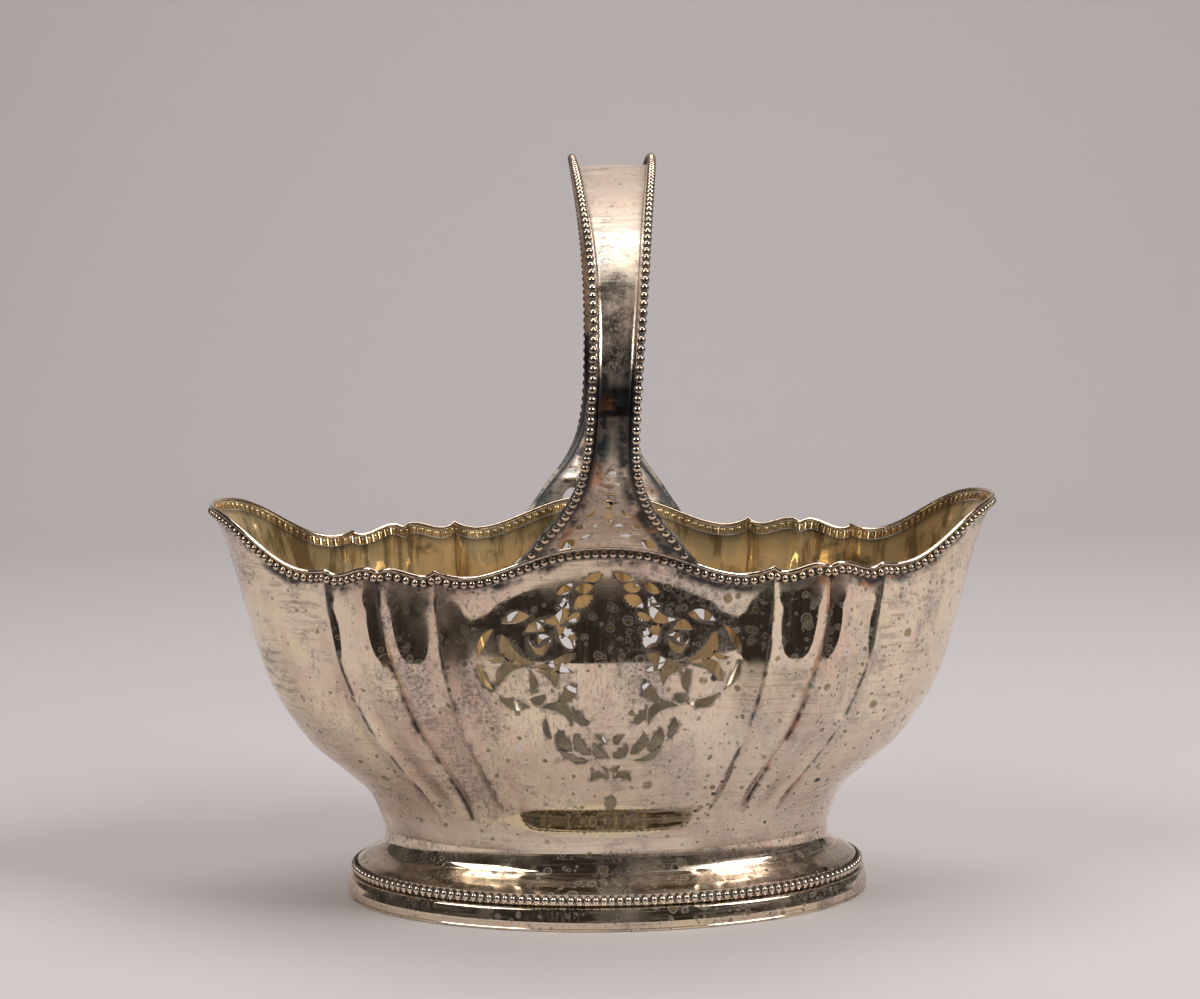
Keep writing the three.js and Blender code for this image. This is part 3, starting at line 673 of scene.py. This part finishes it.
def legPoint(side, s, x, depth):  # a point of the strap, whose foot settles on the rim
    h = handleSize
    p, t = onLeg(s)
    y, z = p.x - t.y * depth, p.y + t.x * depth
    settle = 1 - smooth(s / h["blend"])
    if settle > 0:
        seat = frontArc(x + h["shift"])["p"]
        along = rimSize["lip"] + 0.1
        rib = h["rib"] + h["strap"] / 2
        t0 = onLeg(0)[1]
        y += settle * (seat.y - rimSize["lip"] + t0.x * along - h["springY"] + t0.y * rib)
        z += settle * (seat.z - rimSize["lip"] + t0.y * along - h["springZ"] - t0.x * rib)
    return Vector((x + leanAt(side, y, z), side * y, z))


def overHandle(q):  # from the front foot over the crown to the back foot
    return (-1, 2 * q) if q <= 0.5 else (1, 2 - 2 * q)


def makeStrap():
    h = handleSize
    rings = []
    for r in range(h["rows"] + 1):
        side, s = overHandle(r / h["rows"])
        edge = halfWidth(s) + h["overhang"]
        rib = edge - h["ribWidth"]
        trough = rib - (h["side"] - h["rib"])
        flank, low, rise = h["side"], h["rib"], h["middle"] - h["side"]
        # section from the edge to the middle, (across, depth): flat edge, rib, groove, hollowed trough
        half = [(edge, low + 0.25), (edge - 0.2, low), (rib + 0.15, low), (rib - 0.05, low + 0.2),
                (rib - 0.25, flank - 0.1), (rib - 0.55, flank), (trough - 0.1, flank - 0.05),
                (trough - 0.35, flank - 0.3), (trough - 0.7, flank - 0.05), (trough * 0.8, flank + 0.02),
                (trough * 0.6, flank + rise * 0.35), (trough * 0.4, flank + rise * 0.7),
                (trough * 0.2, flank + rise * 0.93)]
        line = [(-x, d) for x, d in half] + [(0, h["middle"])] + half[::-1]
        fade = smooth(2 * s / h["blend"])
        outer = [legPoint(side, s, x, mix(h["rib"], d, fade)) for x, d in line]
        inner = [legPoint(side, s, x, mix(h["rib"], d, fade) + h["strap"]) for x, d in line]
        rings.append(outer + inner[::-1])
    strap = newPiece("handleStrap", *loft(rings, "strip"))
    faceOutwards(strap)
    pairs = list(openwork["skirtPairs"])
    leaves = list(openwork["skirt"]) + pairs + [mirrorLeaf(leaf) for leaf in pairs]
    cutWith(strap, leafCutters("skirtCutters", leaves, (0, h["springZ"]), openwork["skirtReach"],
                               lambda side, z: leanAt(side, h["springY"], z)))
    return strap


strap = makeStrap()
smoothShade(strap, 35)


def handleBeads(name, edge):
    h = handleSize
    first = h["beadStart"] / (2 * legLength)
    count = round(2 * legLength * (1 - 2 * first) / h["beadPitch"])
    places, line = [], []
    for k in range(2 * count + 1):
        side, s = overHandle(mix(first, 1 - first, k / (2 * count)))
        x = edge * halfWidth(s)
        p = legPoint(side, s, x, 0)
        out = (p - legPoint(side, s, x, 1)).normalized()
        line.append((p, out))
    for k in range(1, 2 * count, 2):
        along = (line[k + 1][0] - line[k - 1][0]).normalized()
        places.append((line[k][0], line[k][1], along))
    beads = strewBeads(name, beadMaster(h["bead"], 1), places)
    core = tube("handleCore", line, h["core"], 8, h["coreIn"], closed=False)
    smoothShade(core, 60)
    return joinPieces(name, core, beads)


beadsLeft = handleBeads("handleBeadsLeft", -1)
beadsRight = handleBeads("handleBeadsRight", 1)
print("stage: handle")


class Finish:
    def __init__(self, name):
        self.material = bpy.data.materials.new(name)
        self.material.use_nodes = True
        self.nodes = self.material.node_tree.nodes
        self.links = self.material.node_tree.links
        self.shader = self.nodes["Principled BSDF"]
        self.place = self.nodes.new("ShaderNodeTexCoord").outputs["Object"]

    def add(self, kind, values=None, **links):
        node = self.nodes.new(kind)
        for key, value in (values or {}).items():
            if key in node.inputs:
                node.inputs[key].default_value = value
            else:
                setattr(node, key, value)
        for key, source in links.items():
            self.links.new(source, node.inputs[key.replace("_", " ")])
        return node

    def noise(self, scale, detail=4, stretch=None, rough=0.55, turn=(0, 0, 0)):
        place = self.place
        if stretch:
            values = {"Scale": stretch, "Rotation": turn}
            place = self.add("ShaderNodeMapping", values, Vector=place).outputs[0]
        values = {"Scale": scale, "Detail": detail, "Roughness": rough}
        return self.add("ShaderNodeTexNoise", values, Vector=place).outputs["Fac"]

    def axis(self, i):
        return self.add("ShaderNodeSeparateXYZ", None, Vector=self.place).outputs[i]

    def wobbly(self, far):  # the place, pushed about a little so that shapes aren't perfect
        noise = self.add("ShaderNodeTexNoise", {"Scale": 260, "Detail": 3}, Vector=self.place)
        node = self.add("ShaderNodeVectorMath", {"operation": "MULTIPLY_ADD"}, Vector=noise.outputs["Color"])
        node.inputs[1].default_value = (far, far, far)
        self.links.new(self.place, node.inputs[2])
        return node.outputs[0]

    def ramp(self, source, low, high, a=0.0, b=1.0):
        values = {"From Min": low, "From Max": high, "To Min": a, "To Max": b}
        return self.add("ShaderNodeMapRange", values, Value=source).outputs[0]

    def blendColour(self, amount, a, b):
        node = self.nodes.new("ShaderNodeMix")
        node.data_type = "RGBA"
        self.links.new(amount, node.inputs[0])
        for socket, value in ((node.inputs[6], a), (node.inputs[7], b)):
            if isinstance(value, tuple):
                socket.default_value = (*value, 1)
            else:
                self.links.new(value, socket)
        return node.outputs[2]

    def maths(self, operation, a, b):
        node = self.nodes.new("ShaderNodeMath")
        node.operation = operation
        for socket, value in zip(node.inputs, (a, b)):
            if isinstance(value, (int, float)):
                socket.default_value = value
            else:
                self.links.new(value, socket)
        return node.outputs[0]

    def both(self, a, b):
        return self.maths("MULTIPLY", a, b)

    def either(self, a, b):
        return self.maths("MAXIMUM", a, b)

    def farFrom(self, i, middle=0, half=1):  # how far from a place along an axis, in half widths
        aside = self.maths("SUBTRACT", self.axis(i), middle)
        return self.maths("ABSOLUTE", self.maths("DIVIDE", aside, half), 0)

    def lay(self, colour, mask, strength, shade):  # a shade over the colour so far
        return self.blendColour(self.both(mask, strength), colour, shade)


# some shades stand for light: the lens gold is a painted reflection, the pale lift low down is painted light,
# the near-black of pits also paints a dark reflection on the strap, and the stain colour also paints shade
# under and between the beads
silverLook = {
    "clean": (0.9, 0.74, 0.57), "haze": (0.82, 0.65, 0.48), "cream": (0.95, 0.8, 0.57),
    "rose": (0.76, 0.52, 0.41), "violet": (0.42, 0.35, 0.34), "grey": (0.17, 0.15, 0.14),
    "streak": (0.36, 0.29, 0.24), "ring": (0.86, 0.8, 0.66), "spot": (0.22, 0.15, 0.03),
    "pitAndDarkReflection": (0.03, 0.025, 0.02), "stain": (0.022, 0.016, 0.018), "paintedReflectionGold": (1, 0.84, 0.5),
    "teal": (0.1, 0.26, 0.25), "rust": (0.75, 0.3, 0.12), "paintedLightTint": (1, 0.88, 0.74),
    "rough": 0.045, "hazeRough": 0.17, "wearRough": 0.2, "diffuse": 0.3, "scratchDepth": 0.00001,
    "streaks": 0.5, "grain": 0.62, "rings": 0.5, "tarnish": 0.6, "dirtAndShade": 0.95,  # how strong each is
    "paintedLight": 0.5,  # how strong the painted light is low down
    "hazeFrom": 0.42, "dullFrom": 0.235,  # haze in clouds from this level on, all over from this height on
    "rainbow": (0, 0.04, 0.07),  # rainbow tarnish near the dirt: axis, where it starts, where it is full
}
# the polished lens: where it is, how big, how strong its painted gold reflection is, and how polished
lensLook = {"x": -0.003, "halfWidth": 0.037, "z": 0.0382, "halfHeight": 0.0074, "paintedReflectionGold": 0.7, "polish": 0.3}
drifts = (  # clouds of colour: shade, strength, scale, stretch, roughness, from, to
    ("cream", 0.7, 38, (1, 1, 0.8), 0.72, 0.49, 0.56),
    ("rose", 0.6, 22, (1, 1, 0.6), 0.7, 0.51, 0.6),
    ("violet", 0.45, 15, (1, 1, 0.5), 0.72, 0.54, 0.62),
    ("streak", 0.7, 62, (1, 1, 1.6), 0.8, 0.56, 0.61),
)
spots = (  # round marks: scale, size, rarity, strength, shade
    (105, 0.13, 0.62, 0.7, "spot"), (200, 0.16, 0.6, 0.75, "spot"), (290, 0.18, 0.54, 0.65, "spot"),
    (330, 0.2, 0.82, 0.6, "streak"), (150, 0.13, 0.93, 0.9, "pitAndDarkReflection"),
)


def spotMask(f, scale, size, rarity):  # round spots, some cells only, more of them to the right
    cells = f.add("ShaderNodeTexVoronoi", {"Scale": scale}, Vector=f.wobbly(0.0015))
    picks = f.add("ShaderNodeSeparateColor", None, Color=cells.outputs["Color"]).outputs
    near = f.both(cells.outputs["Distance"], f.ramp(picks[1], 0, 1, 0.7, 1.8))
    chance = f.maths("ADD", picks[0], f.ramp(f.axis(0), -0.04, 0.06, -0.12, 0.22))
    some = f.maths("GREATER_THAN", chance, rarity)
    disc = f.both(f.ramp(near, size, size * 1.3, 1, 0), some)
    ring = f.both(f.maths("SUBTRACT", f.ramp(near, size * 1.9, size * 2.2, 1, 0),
                          f.ramp(near, size * 1.3, size * 1.7, 1, 0)), some)
    return disc, ring


def spotsOver(f, look, colour, marked):
    marks = 0
    for scale, size, rarity, strength, shade in spots:
        disc, ring = spotMask(f, scale, size, rarity)
        marks = f.either(marks, f.either(disc, f.both(ring, 0.6)))
        colour = f.lay(colour, ring, look["rings"] * marked, look["ring"])
        colour = f.lay(colour, disc, strength * marked, look[shade])
    return colour, marks


def lensMask(f):  # a polished lens just over the neck, at the middle of each long side, which also carries a painted gold reflection of the foot
    flat = f.farFrom(2, lensLook["z"], lensLook["halfHeight"])
    wide = f.maths("POWER", f.farFrom(0, lensLook["x"], lensLook["halfWidth"]), 2)
    return f.ramp(f.maths("ADD", flat, wide), 1.06, 0.94)


def wipedStreaks(f, shoulder):  # lying in some places and standing in others, few on the shoulder
    where = f.noise(12, 4)
    lying = f.noise(45, 4, (1, 1, 26), 0.6)
    standing = f.noise(45, 4, (26, 26, 1), 0.6)
    across = f.both(f.ramp(lying, 0.5, 0.66), f.ramp(where, 0.44, 0.54))
    upright = f.both(f.ramp(standing, 0.5, 0.66), f.ramp(where, 0.5, 0.42))
    return lying, f.both(f.either(across, upright), f.ramp(shoulder, 0, 1, 1, 0.3))


def darkGrain(f):  # fine specks in patches, and slanted hatching on both flanks
    specks = f.ramp(f.noise(700, 9, None, 0.8), 0.48, 0.56)
    grain = f.both(specks, f.ramp(f.noise(30, 8, (1, 1, 0.5), 0.78), 0.5, 0.58))
    hatch = f.ramp(f.noise(60, 9, (1, 1, 7), 0.75, (0, 0.7, 0)), 0.5, 0.58)
    hatch = f.both(f.both(hatch, f.ramp(f.farFrom(0), 0.07, 0.12)), f.ramp(f.noise(18, 5), 0.48, 0.56))
    return f.either(grain, hatch)


def dirtOver(f, look, colour, markName):  # dirt and painted shade by the marks on the points, and rainbow tarnish beside it
    kept = f.add("ShaderNodeAttribute", {"attribute_name": markName}).outputs["Fac"]
    if markName == "stainAndShade":
        axis, start, full = look["rainbow"]
        beside = f.both(f.ramp(kept, 0, 0.25), f.ramp(f.axis(axis), start, full))
        for shade, scale in (("teal", 75), ("rust", 55)):
            patch = f.both(f.ramp(f.noise(scale, 5), 0.55, 0.6), beside)
            colour = f.lay(colour, patch, look["tarnish"], look[shade])
        dirtAndShade = f.both(f.ramp(kept, 0, 0.5), f.ramp(f.noise(90, 8, None, 0.7), 0.42, 0.56))
        dirtAndShade = f.either(dirtAndShade, f.ramp(kept, 0.6, 0.9))
    else:  # beads, and the strip and wires behind them, are dark in the hollows: patina and painted shade
        dirtAndShade = f.ramp(kept, 0.2, 0.8, 1, 0)
    return f.lay(colour, dirtAndShade, look["dirtAndShade"], look["stain"]), dirtAndShade


def silver(name, look, marked=1.0, markName="stainAndShade"):
    f = Finish(name)
    tall = f.axis(2)
    shoulder = f.both(f.ramp(tall, 0.094, 0.102), f.ramp(tall, 0.128, 0.122))
    lens = lensMask(f)
    offLens = f.maths("SUBTRACT", 1, lens)
    polish = f.either(f.both(shoulder, 0.1), f.both(lens, lensLook["polish"]))
    cloud = f.maths("SUBTRACT", f.noise(26, 8, None, 0.62), polish)
    haze = f.ramp(cloud, look["hazeFrom"], look["hazeFrom"] + 0.16)
    haze = f.either(haze, f.ramp(tall, look["dullFrom"], look["dullFrom"] + 0.025))
    colour = f.blendColour(haze, look["clean"], look["haze"])
    # painted reflection: the lens is tinted gold like the foot it mirrors
    colour = f.lay(colour, lens, lensLook["paintedReflectionGold"], look["paintedReflectionGold"])
    for shade, strength, scale, stretch, rough, low, high in drifts:
        drift = f.ramp(f.noise(scale, 9, stretch, rough), low, high, 0, strength)
        colour = f.lay(colour, drift, offLens, look[shade])
    lying, streaks = wipedStreaks(f, shoulder)
    colour = f.lay(colour, streaks, look["streaks"], look["streak"])
    grain = f.both(darkGrain(f), offLens)
    colour = f.lay(colour, grain, look["grain"], look["grey"])
    # painted light: brighter low on the right and round the foot
    paintedLight = f.both(f.ramp(f.axis(0), -0.02, 0.05), f.ramp(tall, 0.095, 0.06))
    paintedLight = f.either(paintedLight, f.ramp(tall, 0.036, 0.031))
    colour = f.lay(colour, paintedLight, look["paintedLight"], look["paintedLightTint"])
    colour, marks = spotsOver(f, look, colour, marked)
    if "paintedDarkReflection" in look:  # painted dark reflection: a black zone low on the strap, from and to these heights
        low, high = look["paintedDarkReflection"]
        zone = f.both(f.ramp(tall, low, low + 0.0012), f.ramp(tall, high + 0.003, high))
        colour = f.lay(colour, zone, 0.93, look["pitAndDarkReflection"])
    colour, dirtAndShade = dirtOver(f, look, colour, markName)
    f.links.new(colour, f.shader.inputs["Base Color"])
    wear = f.either(f.either(streaks, grain), dirtAndShade)
    rough = f.maths("ADD", f.both(haze, look["hazeRough"]), f.both(wear, look["wearRough"]))
    f.links.new(f.maths("ADD", rough, look["rough"]), f.shader.inputs["Roughness"])
    dull = f.either(f.both(f.either(haze, wear), look["diffuse"]), dirtAndShade)
    dull = f.either(dull, f.both(marks, 0.45 * marked))
    f.links.new(f.maths("SUBTRACT", 1, dull), f.shader.inputs["Metallic"])
    bump = f.add("ShaderNodeBump", {"Strength": 0.25, "Distance": look["scratchDepth"]}, Height=lying)
    f.links.new(bump.outputs[0], f.shader.inputs["Normal"])
    return f.material


# the strap finish; its black band low on the legs is a painted dark reflection
strapLook = {
    **silverLook, "haze": (0.74, 0.59, 0.47), "cream": (0.88, 0.74, 0.56), "rough": 0.1, "hazeRough": 0.3,
    "diffuse": 0.5, "paintedDarkReflection": (0.1905, 0.2), "rainbow": (2, 0.2, 0.193),
}
bodySilver = silver("bodySilver", silverLook)
strapSilver = silver("strapSilver", strapLook, 0.5)
wireSilver = silver("wireSilver", {**silverLook, "rough": 0.08, "hazeRough": 0.04, "diffuse": 0.05}, 0)
beadSilver = silver("beadSilver", {**silverLook, "rough": 0.1, "hazeRough": 0.06, "diffuse": 0.05}, 0.3,
                    "wearAndShade")
footSilver = silver("footSilver", {**silverLook, "hazeRough": 0.12, "hazeFrom": 0.5, "paintedLight": 0})

giltLook = {
    "clean": (1, 0.8, 0.44), "deep": (0.9, 0.56, 0.24), "drip": (0.2, 0.11, 0.035),
    "stain": (0.09, 0.065, 0.03), "low": (0.2, 0.185, 0.145), "lowPale": (0.36, 0.33, 0.26),
    "dirtAndShade": (0.03, 0.03, 0.03), "roughLeast": 0.04, "roughMost": 0.22, "metal": 0.52,
}


def gilt(name, look):  # warm and clean near the rim, with drips and stains, greyer low down
    f = Finish(name)
    cloud = f.noise(18, 7)
    colour = f.blendColour(f.ramp(cloud, 0.35, 0.65), look["clean"], look["deep"])
    drips = f.ramp(f.noise(30, 5, (5, 5, 0.6), 0.65), 0.5, 0.6, 0, 0.7)
    colour = f.blendColour(drips, colour, look["drip"])
    stain = f.ramp(f.noise(30, 8, (1, 1, 1.5), 0.7), 0.54, 0.63, 0, 0.75)
    high = f.both(f.ramp(f.axis(2), 0.118, 0.126, 0, 0.5), f.ramp(f.noise(14, 6), 0.48, 0.56))
    colour = f.blendColour(f.either(stain, high), colour, look["stain"])
    low = f.blendColour(f.ramp(f.noise(60, 9, None, 0.75), 0.4, 0.6), look["low"], look["lowPale"])
    colour = f.blendColour(f.ramp(f.axis(2), 0.1, 0.065, 0, 0.85), colour, low)
    # dark along the marked lines: dirt, and painted shadow under the bead border
    kept = f.add("ShaderNodeAttribute", {"attribute_name": "stainAndShade"}).outputs["Fac"]
    colour = f.lay(colour, kept, 0.8, look["dirtAndShade"])
    f.links.new(colour, f.shader.inputs["Base Color"])
    rough = f.ramp(cloud, 0.35, 0.65, look["roughLeast"], look["roughMost"])
    f.links.new(rough, f.shader.inputs["Roughness"])
    f.shader.inputs["Metallic"].default_value = look["metal"]
    return f.material


giltInside = gilt("giltInside", giltLook)


def stainAndShadeNear(obj, *lines):  # marks the points near lines of dirt and of painted shade, each with its reach and strength
    near = [0.0] * len(obj.data.vertices)
    for line, reach, strength in lines:
        tree = kdtree.KDTree(len(line))
        for i, p in enumerate(line):
            tree.insert(p * mm, i)
        tree.balance()
        for i, v in enumerate(obj.data.vertices):
            near[i] = max(near[i], strength * smooth(1 - tree.find(v.co)[2] / (reach * mm)))
    markPoints(obj, "stainAndShade", near)


def giltInwards(obj, floor=0):  # faces that look inwards, and those of a floor under this height
    for face in obj.data.polygons:
        c, n = face.center, face.normal
        if n.x * c.x + n.y * c.y < 0 or (n.z > 0.5 and c.z < floor):
            face.material_index = 1


def dressBowl():
    def downWall(relief, low, high=131):  # lines down the wall under the cusps (1) or the grooves (-1)
        return [wallPoint(s, z / 2, 0) for s in rim if s["corner"] and s["relief"] * relief > 0
                for z in range(2 * low, 2 * high)]

    # a dark band just under the bead border: stain and painted shadow under the beads
    underBeads = [besideRim(s, -0.6, wallTop) for s in rim]
    grooves, cusps = downWall(-1, 38), downWall(1, 42)
    stainAndShadeNear(bowl, (underBeads, 3.3, 0.9), (grooves, 1.5, 0.75), (cusps, 0.9, 0.7), (bowlEdges, 0.5, 0.5))
    finishPiece(bowl, "bowl_body", "body_silver", bodySilver, giltInside)
    giltInwards(bowl, bowlSize["giltFloor"] * mm)
    smoothShade(bowl, 30)


def dressStrap():  # dirt beside the ribs on the lower part of each leg
    at, depth = handleSize["dirtAside"], handleSize["side"] - 0.15
    shares = [handleSize["dirtTo"] * i / 70 for i in range(70)]
    grooves = [legPoint(side, s, x * halfWidth(s), depth)
               for s in shares for side in (-1, 1) for x in (-at, at)]
    stainAndShadeNear(strap, (grooves, 8, 1))
    finishPiece(strap, "handle_strap", "body_silver", strapSilver)


dressBowl()
finishPiece(lip, "rim_lip_wire", "wire_silver", wireSilver)
finishPiece(rimBorder, "rim_bead_border", "bead_silver", beadSilver, giltInside)
giltInwards(rimBorder)
dressStrap()
finishPiece(beadsLeft, "handle_bead_wire_left", "bead_silver", beadSilver)
finishPiece(beadsRight, "handle_bead_wire_right", "bead_silver", beadSilver)
finishPiece(pedestal, "foot_pedestal", "foot_silver", footSilver)
finishPiece(footBand, "foot_bead_band", "bead_silver", beadSilver)
finishPiece(base, "foot_base_band", "foot_silver", footSilver)
print("stage: finishes")

studio = {
    "front": -0.308, "back": 1.1, "half": 1.6, "height": 1.6, "curveStep": 0.075, "curveSteps": 12,
    "paper": (0.67, 0.618, 0.61), "paperRough": 0.9, "room": (0.026, 0.024, 0.022),
    "lamps": (  # name, place, size, power and what it points at
        ("lampLeft", (-1.1, -0.75, 1.4), (0.8, 0.9), 11.5, (0, 0, 0.1)),
        ("lampRight", (1.2, -0.65, 1.35), (0.7, 0.9), 20, (0, 0, 0.1)),
        ("lampTop", (0, 0.45, 1.7), (1.4, 0.9), 12.5, (0, 0.5, 0.1)),
    ),
}


def makeSweep():  # paper sweep: a floor that ends in front of the basket and curves up behind it
    deselectAll()
    bpy.ops.mesh.primitive_plane_add(size=1, location=(0, 0, 0))
    paper = bpy.context.object
    paper.name = "paperSweep"
    paper.scale = (2 * studio["half"], studio["back"] - studio["front"], 1)
    paper.location = (0, (studio["back"] + studio["front"]) / 2, 0)
    bpy.ops.object.transform_apply(location=True, rotation=False, scale=True)
    bpy.ops.object.mode_set(mode="EDIT")
    bpy.ops.mesh.select_all(action="DESELECT")
    bpy.ops.object.mode_set(mode="OBJECT")
    for edge in paper.data.edges:
        edge.select = all(paper.data.vertices[v].co.y > studio["back"] - 0.01 for v in edge.vertices)
    bpy.ops.object.mode_set(mode="EDIT")
    step = studio["curveStep"]
    for i in range(studio["curveSteps"]):  # quarter turn upwards in short steps
        a = math.radians(90 * (i + 0.5) / studio["curveSteps"])
        bpy.ops.mesh.extrude_edges_move(
            TRANSFORM_OT_translate={"value": (0, step * math.cos(a), step * math.sin(a))})
    bpy.ops.mesh.extrude_edges_move(TRANSFORM_OT_translate={"value": (0, 0, studio["height"])})
    bpy.ops.object.mode_set(mode="OBJECT")
    bpy.ops.object.shade_smooth()
    material = bpy.data.materials.new("paper")
    material.use_nodes = True
    shader = material.node_tree.nodes["Principled BSDF"]
    shader.inputs["Base Color"].default_value = (*studio["paper"], 1)
    shader.inputs["Roughness"].default_value = studio["paperRough"]
    paper.data.materials.append(material)


def softbox(name, place, size, power, aim):
    bpy.ops.object.light_add(type="AREA", location=place)
    lamp = bpy.context.object
    lamp.name = name
    lamp.data.shape = "RECTANGLE"
    lamp.data.size, lamp.data.size_y = size
    lamp.data.energy = power
    lamp.rotation_euler = (Vector(aim) - Vector(place)).to_track_quat("-Z", "Y").to_euler()


def makeRoom():  # the dark room that the silver mirrors in front of the table
    world = bpy.data.worlds.new("studio")
    scene.world = world
    world.use_nodes = True
    world.node_tree.nodes["Background"].inputs["Color"].default_value = (*studio["room"], 1)


makeSweep()
for lamp in studio["lamps"]:
    softbox(*lamp)
makeRoom()
print("stage: studio")
